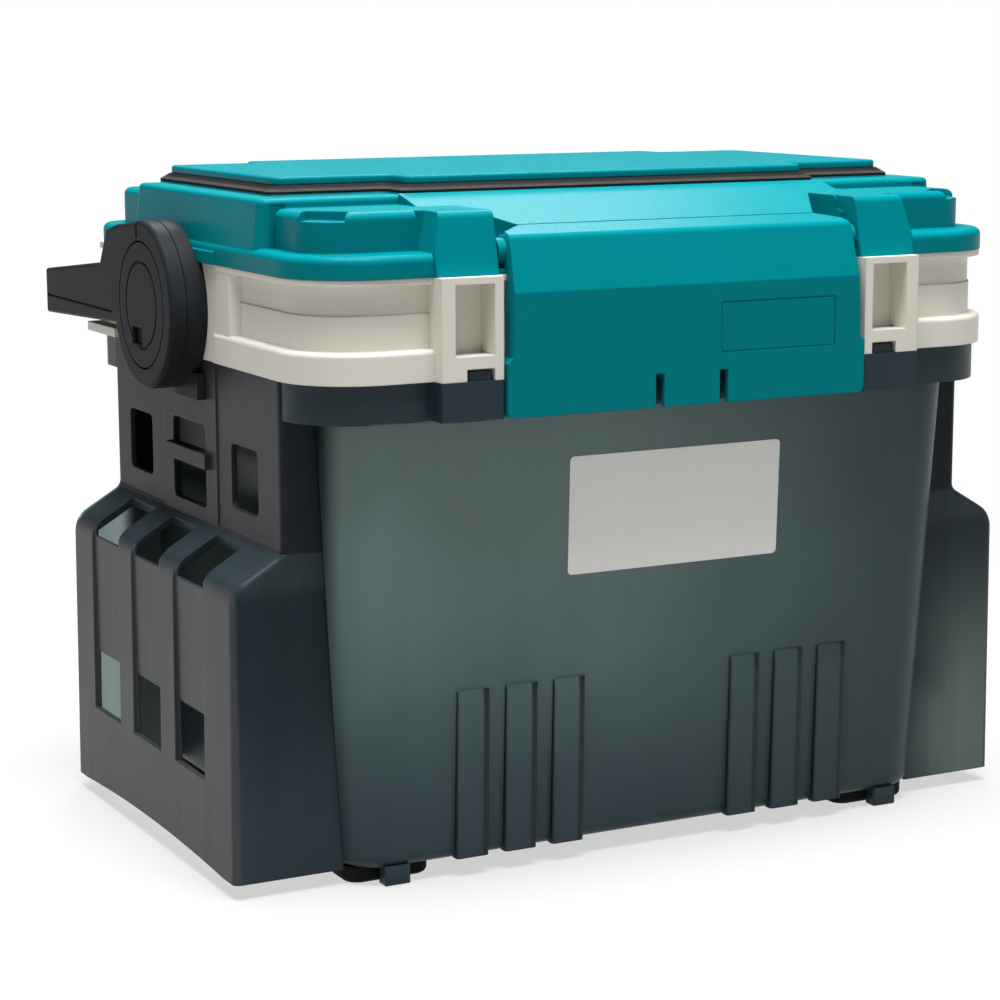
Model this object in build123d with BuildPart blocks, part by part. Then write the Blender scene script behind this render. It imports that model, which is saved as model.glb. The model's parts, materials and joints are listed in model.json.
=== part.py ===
"""Tackle box with a hinged lid, lift-off hatch, front latch, swing handle and sliding tray.

Millimetres. X runs along the box, the front faces -Y and +Z is up.
The origin is on the ground under the middle of the side wings.
"""

import os

from build123d import *

os.makedirs("parts", exist_ok=True)

# Shared values
wall = 3.0
overrun = 2.0
play = 0.3
rest_gap = 0.2
pin_play = 0.05

# Heights of the stack
foot_height = 9.0
tub_height = 235.5
band_height = 20.0
frame_height = 51.5
tub_bottom_z = foot_height
band_bottom_z = tub_bottom_z + tub_height
rim_top_z = band_bottom_z + band_height
lid_bottom_z = rim_top_z + frame_height

# Tub: tapered bucket, front and back measured from the middle plane
tub_length_top = 380.0
tub_front_top = 151.0
tub_back_top = 139.0
tub_end_taper = 11.0
tub_front_taper = 11.0
tub_back_taper = 8.0
tub_length_bottom = tub_length_top - 2 * tub_end_taper
tub_front_bottom = tub_front_top - tub_front_taper
tub_back_bottom = tub_back_top - tub_back_taper
tub_corner = 24.0
tub_bottom_round = 7.0

# Rim band of the tub, open underneath
band_end_overhang = 17.0
band_front_overhang = 13.0
band_back_overhang = 11.0
band_length = tub_length_top + 2 * band_end_overhang
band_front = tub_front_top + band_front_overhang
band_back = tub_back_top + band_back_overhang
band_front_round = 38.0
band_back_round = 18.0

# Ribs on the tub's front
rib_width = 19.0
rib_pitch = 28.3
rib_count = 3
rib_group_x = 82.9
rib_lift = 1.0
rib_height = 90.0
rib_bottom_z = tub_bottom_z + rib_lift
rib_top_z = rib_bottom_z + rib_height
rib_step = 8.0
rib_proud_bottom = 4.0
rib_proud_top = 2.4
rib_round = 2.0

# Foot tabs of the tub and the rubber feet behind them
tab_inset = 26.0
tab_x = tub_length_bottom / 2 - tab_inset
tab_width = 14.0
tab_depth = 8.0
tab_lift = 0.5
foot_length = 48.0
foot_depth = 30.0
foot_corner = 9.0
foot_round = 3.0
foot_inset = 27.0
foot_x = tub_length_bottom / 2 - foot_inset
foot_tab_gap = 3.0
foot_back_y = tub_back_bottom - foot_inset

# Side skirts: upper wall, sloping shoulder and flared wing
skirt_front_inset = 14.4
skirt_back_inset = 12.0
skirt_proud = 1.0
skirt_height = 68.0
wing_flare = 28.0
wing_lean = 1.5
wing_shoulder_drop = 16.5
wing_foot_drop = 1.0
skirt_front = tub_front_bottom - skirt_front_inset
skirt_back = tub_back_bottom - skirt_back_inset
skirt_wall_x = band_length / 2 + skirt_proud
skirt_waist_z = band_bottom_z - skirt_height
wing_shoulder_x = skirt_wall_x + wing_flare
wing_shoulder_z = skirt_waist_z - wing_shoulder_drop
wing_foot_x = wing_shoulder_x + wing_lean
wing_bottom_z = tub_bottom_z - wing_foot_drop
wing_shoulder_round = 15.0
wing_arch = 3.5
wing_arch_inset = 16.0
skirt_waist_round = 6.0
skirt_edge_round = 4.0
skirt_top_z = rim_top_z - rest_gap

# Channels and windows of the wing
channel_count = 3
channel_pitch = 64.5
channel_width = 43.0
channel_depth = 1.2
channel_lift = 46.0
channel_bottom_z = wing_bottom_z + channel_lift
wing_window_width = 38.0
wing_window_height = 33.5
shoulder_window_drop = 6.0
shoulder_window_bottom_z = wing_shoulder_z - shoulder_window_drop
shoulder_window_foot = 4.0

# Windows and strap bar of the upper wall
side_window_y = 77.0
side_window_width = 36.0
side_window_lift = 14.0
side_window_bottom_z = skirt_waist_z + side_window_lift
side_window_height = 34.0
side_window_round = 3.5
strap_panel_width = 80.0
strap_panel_proud = 0.7
strap_width = 48.0
strap_lift = 8.0
strap_low_bottom_z = skirt_waist_z + strap_lift
strap_low_height = 21.5
strap_bar_height = 8.5
strap_high_height = 14.5
strap_bar_proud = 3.3
strap_bar_overlap = 5.0

# Mid frame: ring with a lower band, a recessed wall and a top flange
frame_overhang = 3.0
frame_length = band_length + 2 * frame_overhang
frame_front = band_front + frame_overhang
frame_back = band_back + frame_overhang
frame_front_round = 40.0
frame_back_round = 20.0
frame_band_height = 16.0
frame_band_round = 2.5
frame_recess = 7.0
frame_step = 0.8
frame_step_height = 33.5
frame_flange = 3.5
frame_flange_inset = 0.8

# Accessory sockets of the frame and the tub's bosses below them
socket_end_margin = 67.3
socket_width = 34.4
socket_inner_x = frame_length / 2 - socket_end_margin - socket_width
socket_proud = 7.8
socket_front = frame_front + socket_proud
socket_window_inset = 5.0
socket_window_width = 21.7
socket_sill = 12.5
socket_lintel = 3.7
socket_window_bottom_z = rim_top_z + socket_sill
socket_window_top_z = lid_bottom_z - socket_lintel
socket_notch_width = 15.5
socket_notch_height = 6.0
socket_tab_gap = 1.5
socket_tab_drop = 1.0

# Handle hubs, the frame's end blocks and the arm rests
hub_y = 12.5
hub_rise = 26.5
hub_z = rim_top_z + hub_rise
hub_radius = 45.0
hub_thick = 20.5
hub_disc_thick = 9.0
hub_block_proud = -1.0
hub_block_x = frame_length / 2 + hub_block_proud
hub_outer_x = hub_block_x + hub_thick
hub_block_half = 77.5
hub_block_round = 4.0
hub_block_wall = 2.0
hub_band_gap_half = 54.0
hub_pad_thick = 2.5
hub_pad_drop = 0.5
hub_base_x = hub_block_x + hub_pad_thick
base_tab_offset = 20.5
base_tab_width = 34.0
base_tab_drop = 3.0
base_tab_height = 14.0
base_tab_thick = 4.0
rest_lug_proud = 14.0
rest_lug_x = frame_length / 2 + rest_lug_proud
rest_lug_offset = 59.5
rest_lug_length = 46.0
rest_lug_front = hub_y + rest_lug_offset
rest_lug_back = rest_lug_front + rest_lug_length
rest_lug_lift = 2.9
rest_lug_height = 5.0

# Handle arm, grip and hub cover
grip_depth = 19.0
grip_gap = 4.5
arm_end_y = frame_back + grip_gap + grip_depth
arm_rise = 8.0
arm_low_z = rim_top_z + arm_rise
arm_height = 26.0
arm_gap = 5.5
arm_inner_x = hub_block_x + arm_gap
arm_root_offset = 51.5
arm_root_y = hub_y + arm_root_offset
arm_root_above = 18.0
arm_root_below = 12.0
arm_root_top_z = hub_z + arm_root_above
arm_root_low_z = hub_z - arm_root_below
arm_edge_round = 2.5
shoulder_above = 44.5
shoulder_length = 41.5
shoulder_fall = 4.0
shoulder_drop = 7.5
shoulder_slope = 14.0
shoulder_top_z = hub_z + shoulder_above
shoulder_back_y = hub_y + shoulder_length
shoulder_drop_y = shoulder_back_y + shoulder_slope
shoulder_drop_z = shoulder_top_z - shoulder_drop
arm_join_offset = 67.5
arm_join_y = hub_y + arm_join_offset
grip_round = 6.0
cover_radius = 33.5
cover_groove = 1.0
cover_thick = 2.5
cover_ring_radius = 24.0
cover_ring_width = 1.6
cover_ring_depth = 0.8
cover_hole_offset = 7.0
cover_hole_width = 16.0
cover_hole_height = 9.5
cover_hole_drop = 22.0
hub_slot_width = 3.2
hub_slot_depth = 9.0
seam_width = 1.2
seam_depth = 0.8
seam_share = 0.6

# Handle pivot bolt and nut
pivot_radius = 5.0
pivot_head_radius = 10.0
pivot_head_thick = 3.0
pivot_nut_across = 13.0
pivot_nut_thick = 3.6
pivot_nut_sides = 6

# Lid: skirt, raised body, platform under the hatch and front bosses
lid_end_inset = 0.5
lid_back_inset = 8.0
lid_length = frame_length - 2 * lid_end_inset
lid_front = frame_front
lid_back = frame_back - lid_back_inset
lid_front_round = frame_front_round
lid_back_round = frame_back_round
lid_skirt_height = 11.5
lid_edge_round = 4.0
lid_shelf = 20.0
lid_end_shelf = 11.0
lid_back_shelf = 13.0
lid_body_height = 31.5
lid_body_round = 22.0
lid_body_back_round = 12.0
lid_cavity_round = 45.0
platform_height = 36.2
platform_end_inset = 0.2
platform_lean = 4.0
platform_front_margin = 68.0
platform_back_margin = 63.0
platform_corner = 6.0
platform_round = 2.5
platform_half = lid_length / 2 - platform_end_inset - platform_lean
platform_front_y = platform_front_margin - lid_front
platform_back_y = lid_back - platform_back_margin
end_groove_width = 2.0
end_groove_depth = 6.0
hood_half = 58.0
hood_height = 9.5
hood_drop = 3.0
boss_proud = 3.0
boss_front = lid_front + boss_proud
boss_lean = 7.0
boss_draft = 4.5
boss_round = 4.0
corner_notch_width = 24.0
corner_notch_reach = 24.0
corner_notch_drop = 4.5
corner_notch_turn = 45.0

# Hatch: cross-shaped seat, gasket and panel
hatch_end_margin = 17.7
hatch_front_margin = 68.8
hatch_back_margin = 40.2
hatch_ear_step = 20.4
hatch_mid_length = 253.6
hatch_back_length = 276.0
hatch_ear_length = lid_length - 2 * hatch_end_margin
hatch_front_y = hatch_front_margin - lid_front
hatch_back_y = lid_back - hatch_back_margin
hatch_y = (hatch_front_y + hatch_back_y) / 2
hatch_mid_depth = hatch_back_y - hatch_front_y
hatch_ear_depth = hatch_mid_depth - 2 * hatch_ear_step
hatch_corner = 5.0
hatch_seat_height = 37.0
hatch_seat_width = 14.0
gasket_thick = 4.4
gasket_lip = 1.4
gasket_edge = 1.0
panel_inset = 5.0
panel_thick = 4.0
panel_edge_round = 1.5
panel_plug_wall = 2.5
panel_plug_depth = 9.0
panel_plug_gap = 0.8

# Ramp between the hatch and the latch, and the pocket beside each end of it
ramp_margin = 2.5
pocket_width = 19.0
pocket_depth = 7.0

# Front latch and its pivot
latch_pivot_inset = 6.5
latch_pivot_rise = 11.0
latch_pivot_y = lid_front - latch_pivot_inset
latch_pivot_z = lid_bottom_z + latch_pivot_rise
latch_overlap = 19.8
latch_bottom_z = rim_top_z - latch_overlap
latch_crease_drop = 9.0
latch_crease_z = lid_bottom_z - latch_crease_drop
latch_proud = 1.7
latch_front = socket_front + latch_proud
latch_lean = 8.2
latch_top_front = latch_front - latch_lean
latch_lip_reach = 7.7
latch_lip_y = latch_pivot_y - latch_lip_reach
latch_lip_drop = 3.0
latch_barrel_radius = 8.0
latch_barrel_end_radius = 6.5
latch_corner_width = 15.4
latch_corner_depth = 11.4
latch_end_gap = 1.3
latch_low_step = 2.8
latch_top_taper = 2.2
latch_half_low = socket_inner_x - latch_end_gap
latch_half_mid = latch_half_low - latch_low_step
latch_half_top = latch_half_mid - latch_top_taper
latch_step_rise = 7.5
latch_step_z = rim_top_z + latch_step_rise
latch_corner_round = 9.0
latch_foot_round = 3.0
latch_skin = 3.2
latch_sweep_gap = 0.3
latch_top_round = 4.0
latch_slot_x = 19.2
latch_slot_width = 5.0
latch_slot_height = 17.3
latch_slot_top_z = latch_bottom_z + latch_slot_height
latch_hook_half = 15.0
latch_hook_height = 5.0
latch_hook_gap = 0.5
latch_plate_x = 52.7
latch_plate_width = 70.6
latch_plate_lift = 6.5
latch_plate_height = 26.0
latch_plate_depth = 0.6
latch_ledge = 2.5
latch_side_gap = 0.8
latch_pin_radius = 2.0
latch_pin_seat = 19.7
latch_pin_half = socket_inner_x + latch_pin_seat

# Lid hinge
hinge_inset = 3.5
hinge_rise = 4.5
hinge_y = frame_back - hinge_inset
hinge_z = lid_bottom_z + hinge_rise
hinge_radius = 3.8
hinge_pin_radius = 2.0
hinge_end_margin = 90.0
hinge_x = frame_length / 2 - hinge_end_margin
hinge_lid_half = 14.0
hinge_ear_length = 14.0
hinge_ear_gap = 0.6

# Tray that hangs on the rim, and its dividers
tray_length = 178.0
tray_depth_below = 58.0
tray_rim_height = 5.0
tray_wall = 2.0
tray_end_gap = 2.5
tray_side_gap = 3.0
tray_rim_gap = 1.0
tray_corner = 24.0
tray_rib_width = 2.0
tray_slot_width = 2.6
tray_rib_depth = 4.0
divider_thick = 2.0
divider_drop = 4.0
divider_shares = (-0.17, 0.17)


def between(low, high, share):
    """Value that lies a share of the way from low to high."""
    return low + (high - low) * share


def tub_share(z):
    """Share of the tub's height at level z."""
    return (z - tub_bottom_z) / (rim_top_z - tub_bottom_z)


def tub_front_at(z):
    """Distance from the middle plane to the tub's front face at level z."""
    return between(tub_front_bottom, tub_front_top, tub_share(z))


def tub_back_at(z):
    """Distance from the middle plane to the tub's back face at level z."""
    return between(tub_back_bottom, tub_back_top, tub_share(z))


def plan_outline(length, front, back, front_round, back_round):
    """Plan outline with its own rounding at the front and the back corners."""
    with Locations((0, (back - front) / 2)):
        Rectangle(length, front + back)
    fillet(vertices().group_by(Axis.Y)[0], front_round)
    fillet(vertices().group_by(Axis.Y)[-1], back_round)


def tub_outline(z, inset):
    """Plan outline of the tub at level z, drawn in by inset."""
    plan_outline(
        between(tub_length_bottom, tub_length_top, tub_share(z)) - 2 * inset,
        tub_front_at(z) - inset,
        tub_back_at(z) - inset,
        tub_corner - inset,
        tub_corner - inset,
    )


def tub_solid(low_z, high_z, inset, mode):
    """Tapered bucket form between two levels."""
    with BuildSketch(Plane.XY.offset(low_z)) as low:
        tub_outline(low_z, inset)
    with BuildSketch(Plane.XY.offset(high_z)) as high:
        tub_outline(high_z, inset)
    loft(sections=[low.sketch.face(), high.sketch.face()], ruled=True, mode=mode)


def band_outline(inset):
    """Plan outline of the tub's rim band."""
    plan_outline(
        band_length - 2 * inset,
        band_front - inset,
        band_back - inset,
        band_front_round - inset,
        band_back_round - inset,
    )


def frame_outline(inset):
    """Plan outline of the mid frame."""
    plan_outline(
        frame_length - 2 * inset,
        frame_front - inset,
        frame_back - inset,
        frame_front_round - inset,
        frame_back_round - inset,
    )


def lid_outline(inset):
    """Plan outline of the lid's skirt."""
    plan_outline(
        lid_length - 2 * inset,
        lid_front - inset,
        lid_back - inset,
        lid_front_round - inset,
        lid_back_round - inset,
    )


def cross_outline(inset):
    """Cross-shaped plan outline shared by the hatch seat, gasket and panel."""
    reach = hatch_mid_depth / 2 - inset
    with Locations((0, hatch_y)):
        Rectangle(hatch_ear_length - 2 * inset, hatch_ear_depth - 2 * inset)
        Rectangle(hatch_mid_length - 2 * inset, reach, align=(Align.CENTER, Align.MAX))
        Rectangle(hatch_back_length - 2 * inset, reach, align=(Align.CENTER, Align.MIN))
    fillet(vertices(), hatch_corner)


def block(x_span, y_span, z_span, mode=Mode.ADD):
    """Rectangular block between pairs of planes."""
    spans = (x_span, y_span, z_span)
    with Locations(tuple((low + high) / 2 for low, high in spans)):
        Box(*(high - low for low, high in spans), mode=mode)


def window(x_span, y_span, z_span, corner):
    """Opening with rounded corners through a side wall."""
    with BuildSketch(Plane.YZ.offset(x_span[0])) as opening:
        with Locations((sum(y_span) / 2, sum(z_span) / 2)):
            RectangleRounded(y_span[1] - y_span[0], z_span[1] - z_span[0], corner)
    extrude(to_extrude=opening.sketch, amount=x_span[1] - x_span[0], mode=Mode.SUBTRACT)


def round_corners(rounds):
    """Round the corners of the sketch that lie at the given points."""
    for point, radius in rounds:
        fillet(vertices().sort_by_distance(point)[0], radius)


def side_profile(points, x_span, mode=Mode.ADD, rounds=()):
    """Outline drawn on the side view and extruded along the box."""
    with BuildSketch(Plane.YZ.offset(x_span[0])) as profile:
        with BuildLine():
            Polyline(*points, close=True)
        make_face()
        round_corners(rounds)
    extrude(to_extrude=profile.sketch, amount=x_span[1] - x_span[0], mode=mode)


def front_profile(points, y_span, mode=Mode.ADD, rounds=()):
    """Outline drawn on the front view and extruded from front to back."""
    with BuildSketch(Plane.XZ.offset(-y_span[0])) as profile:
        with BuildLine():
            Polyline(*points, close=True)
        make_face()
        round_corners(rounds)
    extrude(to_extrude=profile.sketch, amount=y_span[0] - y_span[1], mode=mode)


def rod(x_span, y, z, radius, mode=Mode.ADD):
    """Round rod along the box."""
    with BuildSketch(Plane.YZ.offset(x_span[0])) as section:
        with Locations((y, z)):
            Circle(radius)
    extrude(to_extrude=section.sketch, amount=x_span[1] - x_span[0], mode=mode)


def write(builder, name):
    """Label the finished piece and write its file."""
    builder.part.label = name
    export_step(builder.part, "parts/" + name + ".step")


# Tub
with BuildPart() as tub:
    with BuildSketch(Plane.XY.offset(band_bottom_z)):
        band_outline(0)
    extrude(amount=band_height)
    for side in (-1, 1):
        socket_xs = sorted((side * socket_inner_x, side * (socket_inner_x + socket_width)))
        block(socket_xs, (-socket_front, -band_front + wall), (band_bottom_z, rim_top_z))
    with BuildSketch(Plane.XY.offset(band_bottom_z)):
        band_outline(wall)
        for side in (-1, 1):
            with Locations((side * (socket_inner_x + socket_width / 2), -band_front)):
                Rectangle(socket_width - 2 * wall, 2 * (socket_front - band_front - wall))
    extrude(amount=band_height - wall, mode=Mode.SUBTRACT)
    for side in (-1, 1):
        gap_xs = sorted((side * (skirt_wall_x - wall), side * (band_length / 2 + overrun)))
        block(gap_xs, (-skirt_front, skirt_back), (band_bottom_z, rim_top_z), Mode.SUBTRACT)
    tub_solid(tub_bottom_z, rim_top_z, 0, Mode.ADD)
    fillet(tub.faces().sort_by(Axis.Z)[0].edges(), tub_bottom_round)
    tub_solid(tub_bottom_z + wall, rim_top_z + overrun, wall, Mode.SUBTRACT)
    rib_back = -wall / 2
    rib_points = (
        (-tub_front_at(rib_bottom_z) - rib_back, rib_bottom_z),
        (-tub_front_at(rib_bottom_z) - rib_proud_bottom, rib_bottom_z),
        (-tub_front_at(rib_top_z - rib_step) - rib_proud_top, rib_top_z - rib_step),
        (-tub_front_at(rib_top_z) - rib_proud_top / 2, rib_top_z),
        (-tub_front_at(rib_top_z) - rib_back, rib_top_z),
    )
    for side in (-1, 1):
        for number in range(rib_count):
            rib_x = side * rib_group_x + (number - (rib_count - 1) / 2) * rib_pitch
            with BuildPart() as rib:
                side_profile(rib_points, (rib_x - rib_width / 2, rib_x + rib_width / 2))
                long_edges = rib.edges().filter_by(lambda edge: edge.length > rib_height / 2)
                fillet(long_edges.sort_by(Axis.Y)[:2], rib_round)
    for side in (-1, 1):
        tab_xs = (side * tab_x - tab_width / 2, side * tab_x + tab_width / 2)
        tab_z = tub_bottom_z + tub_bottom_round
        tab_front = tub_front_at(tab_z)
        block(tab_xs, (-tab_front, -tab_front + tab_depth), (tab_lift, tub_bottom_z + wall / 2))
        notch_x = side * (socket_inner_x + socket_window_inset + socket_notch_width / 2)
        notch_half = socket_notch_width / 2 - socket_tab_gap
        tab_ys = (-socket_front + wall / 2, -socket_front + wall + wall / 2)
        tab_zs = (rim_top_z - wall, rim_top_z + socket_notch_height - socket_tab_drop)
        block((notch_x - notch_half, notch_x + notch_half), tab_ys, tab_zs)
write(tub, "tub")

# Rubber feet
foot_front_y = -tub_front_at(tub_bottom_z + tub_bottom_round) + tab_depth + foot_tab_gap + foot_depth / 2
for row, foot_y in (("front", foot_front_y), ("rear", foot_back_y)):
    for hand, side in (("left", -1), ("right", 1)):
        with BuildPart() as foot:
            with BuildSketch():
                with Locations((side * foot_x, foot_y)):
                    RectangleRounded(foot_length, foot_depth, foot_corner)
            extrude(amount=foot_height)
            fillet(foot.faces().sort_by(Axis.Z)[0].edges(), foot_round)
        write(foot, "foot_" + row + "_" + hand)

# Side skirts
skirt_root_x = tub_length_bottom / 2 - tub_corner / 2
skirt_ys = (-skirt_front, skirt_back)
with BuildPart() as side_skirt:
    waist = (skirt_wall_x, skirt_waist_z)
    shoulder = (wing_shoulder_x, wing_shoulder_z)
    outer_points = (
        (skirt_root_x, skirt_top_z),
        (skirt_wall_x, skirt_top_z),
        waist,
        shoulder,
        (wing_foot_x, wing_bottom_z),
        (skirt_root_x, wing_bottom_z),
    )
    skirt_rounds = ((shoulder, wing_shoulder_round), (waist, skirt_waist_round))
    front_profile(outer_points, skirt_ys, rounds=skirt_rounds)
    for place in (0, -1):
        end_edges = side_skirt.faces().sort_by(Axis.Y)[place].edges()
        fillet(end_edges.filter_by(lambda edge: edge.center().X > skirt_wall_x - wall), skirt_edge_round)
    # Raised panel of the strap bar
    strap_high_z = strap_low_bottom_z + strap_low_height + strap_bar_height
    strap_top_z = strap_high_z + strap_high_height
    panel_xs = (skirt_root_x, skirt_wall_x + strap_panel_proud)
    block(panel_xs, (-strap_panel_width / 2, strap_panel_width / 2), (skirt_waist_z, skirt_top_z))
    # Hollow behind the outer wall, open underneath
    hollow_points = (
        (skirt_root_x - overrun, rim_top_z),
        (skirt_wall_x - wall, rim_top_z),
        (skirt_wall_x - wall, skirt_waist_z - wall),
        (wing_shoulder_x - wall, wing_shoulder_z - wall),
        (wing_foot_x - wall, wing_bottom_z - overrun),
        (skirt_root_x - overrun, wing_bottom_z - overrun),
    )
    front_profile(hollow_points, (-skirt_front + wall, skirt_back - wall), Mode.SUBTRACT)
    # Room for the tub's rim band, and the arch under the wing
    band_xs = (skirt_root_x - overrun, skirt_wall_x - wall)
    block(band_xs, (-skirt_front - overrun, skirt_back + overrun), (band_bottom_z, rim_top_z), Mode.SUBTRACT)
    arch_ys = (-skirt_front + wing_arch_inset, skirt_back - wing_arch_inset)
    with BuildSketch(Plane.YZ.offset(skirt_root_x)):
        with BuildLine():
            arch_ends = tuple((end_y, wing_bottom_z) for end_y in arch_ys)
            ThreePointArc(arch_ends[0], (sum(arch_ys) / 2, wing_bottom_z + wing_arch), arch_ends[1])
            Line(*arch_ends)
        make_face()
    extrude(amount=wing_foot_x, mode=Mode.SUBTRACT)
    # Channels with a lower window and a window over the shoulder
    for number in range(channel_count):
        channel_y = (number - (channel_count - 1) / 2) * channel_pitch
        channel_ys = (channel_y - channel_width / 2, channel_y + channel_width / 2)
        window_ys = (channel_y - wing_window_width / 2, channel_y + wing_window_width / 2)
        channel_xs = (wing_shoulder_x - channel_depth, wing_foot_x + overrun)
        block(channel_xs, channel_ys, (channel_bottom_z, wing_shoulder_z), Mode.SUBTRACT)
        window_xs = (wing_shoulder_x - 2 * wall, wing_foot_x + overrun)
        window_zs = (channel_bottom_z, channel_bottom_z + wing_window_height)
        block(window_xs, window_ys, window_zs, Mode.SUBTRACT)
        shoulder_xs = (skirt_wall_x + shoulder_window_foot, wing_foot_x + overrun)
        block(shoulder_xs, window_ys, (shoulder_window_bottom_z, skirt_waist_z), Mode.SUBTRACT)
    # Windows of the upper wall, and the strap bar between its two windows
    wall_xs = (skirt_wall_x - 2 * wall, skirt_wall_x + strap_panel_proud + overrun)
    window_zs = (side_window_bottom_z, side_window_bottom_z + side_window_height)
    for side in (-1, 1):
        middle_y = side * side_window_y
        window_ys = (middle_y - side_window_width / 2, middle_y + side_window_width / 2)
        window(wall_xs, window_ys, window_zs, side_window_round)
    strap_ys = (-strap_width / 2, strap_width / 2)
    window(wall_xs, strap_ys, (strap_low_bottom_z, strap_top_z), side_window_round)
    bar_xs = (skirt_wall_x - wall, skirt_wall_x + strap_bar_proud)
    bar_ys = (-strap_width / 2 - strap_bar_overlap, strap_width / 2 + strap_bar_overlap)
    block(bar_xs, bar_ys, (strap_high_z - strap_bar_height, strap_high_z))
    # The walls end on the tub
    tub_solid(tub_bottom_z - overrun, rim_top_z, 0, Mode.SUBTRACT)
# The skirt is made as an upper side panel and a wing that meet at the waist
for piece, half in (("side_panel", Keep.TOP), ("wing", Keep.BOTTOM)):
    with BuildPart() as skirt_right:
        add(side_skirt.part)
        split(bisect_by=Plane.XY.offset(skirt_waist_z), keep=half)
    write(skirt_right, piece + "_right")
    with BuildPart() as skirt_left:
        mirror(skirt_right.part, about=Plane.YZ)
    write(skirt_left, piece + "_left")

# Mid frame
frame_inner = frame_recess + wall
with BuildPart() as mid_frame:
    with BuildSketch(Plane.XY.offset(rim_top_z)):
        frame_outline(0)
    extrude(amount=frame_band_height)
    fillet(mid_frame.faces().sort_by(Axis.Z)[-1].edges(), frame_band_round)
    with BuildSketch(Plane.XY.offset(rim_top_z)):
        frame_outline(frame_recess)
    extrude(amount=frame_height)
    with BuildSketch(Plane.XY.offset(rim_top_z)):
        frame_outline(frame_recess - frame_step)
    extrude(amount=frame_step_height)
    with BuildSketch(Plane.XY.offset(lid_bottom_z - frame_flange)):
        frame_outline(frame_flange_inset)
    extrude(amount=frame_flange)
    for side in (-1, 1):
        band_gap_xs = sorted((side * hub_block_x, side * (frame_length / 2 + overrun)))
        band_gap_ys = (hub_y - hub_band_gap_half, hub_y + hub_band_gap_half)
        block(band_gap_xs, band_gap_ys, (rim_top_z, lid_bottom_z), Mode.SUBTRACT)
        with BuildSketch(Plane.XY.offset(rim_top_z)):
            with Locations((side * (hub_block_x - frame_inner / 2), hub_y)):
                RectangleRounded(frame_inner, 2 * hub_block_half, hub_block_round)
        extrude(amount=frame_height)
        socket_xs = sorted((side * socket_inner_x, side * (socket_inner_x + socket_width)))
        block(socket_xs, (-socket_front, -frame_front + frame_recess), (rim_top_z, lid_bottom_z))
        lug_xs = sorted((side * (frame_length / 2 - wall), side * rest_lug_x))
        lug_bottom_z = rim_top_z + rest_lug_lift
        lug_zs = (lug_bottom_z, lug_bottom_z + rest_lug_height)
        block(lug_xs, (rest_lug_front, rest_lug_back), lug_zs)
    # Hollow lower band and hub blocks, open underneath
    with BuildSketch(Plane.XY.offset(rim_top_z)):
        frame_outline(wall)
        with BuildSketch(mode=Mode.PRIVATE) as frame_wall:
            frame_outline(frame_recess)
        add(frame_wall.sketch, mode=Mode.SUBTRACT)
    extrude(amount=frame_band_height - wall, mode=Mode.SUBTRACT)
    for side in (-1, 1):
        hollow_xs = sorted((side * (frame_length / 2 - frame_recess), side * (hub_block_x - hub_block_wall)))
        hollow_ys = (hub_y - hub_block_half + hub_block_round, hub_y + hub_block_half - hub_block_round)
        block(hollow_xs, hollow_ys, (rim_top_z, lid_bottom_z - frame_flange), Mode.SUBTRACT)
    with BuildSketch(Plane.XY.offset(rim_top_z - overrun)):
        frame_outline(frame_inner)
    extrude(amount=frame_height + 2 * overrun, mode=Mode.SUBTRACT)
    # Socket windows and the notches for the tub's tabs
    for side in (-1, 1):
        window_in = socket_inner_x + socket_window_inset
        window_xs = sorted((side * window_in, side * (window_in + socket_window_width)))
        window_ys = (-socket_front - overrun, -frame_front + frame_recess)
        block(window_xs, window_ys, (socket_window_bottom_z, socket_window_top_z), Mode.SUBTRACT)
        notch_xs = sorted((side * window_in, side * (window_in + socket_notch_width)))
        notch_zs = (rim_top_z - overrun, rim_top_z + socket_notch_height)
        block(notch_xs, (-socket_front - overrun, -frame_front), notch_zs, Mode.SUBTRACT)
        # Bore for the handle pivot
        pivot_xs = sorted((side * (hub_block_x - hub_block_wall - overrun), side * (hub_block_x + overrun)))
        rod(pivot_xs, hub_y, hub_z, pivot_radius + pin_play, Mode.SUBTRACT)
    # Hinge ears on the rear flange
    for side in (-1, 1):
        for ear in (-1, 1):
            ear_x = side * hinge_x + ear * (hinge_lid_half + hinge_ear_gap + hinge_ear_length / 2)
            ear_xs = (ear_x - hinge_ear_length / 2, ear_x + hinge_ear_length / 2)
            rod(ear_xs, hinge_y, hinge_z, hinge_radius)
            ear_ys = (hinge_y - hinge_radius, hinge_y + hinge_radius)
            flange_zs = (lid_bottom_z - frame_flange, lid_bottom_z)
            block(ear_xs, (ear_ys[0], frame_back - frame_flange_inset), flange_zs)
            block(ear_xs, ear_ys, (flange_zs[0], hinge_z))
            rod(ear_xs, hinge_y, hinge_z, hinge_pin_radius + pin_play, Mode.SUBTRACT)
write(mid_frame, "mid_frame")

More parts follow.
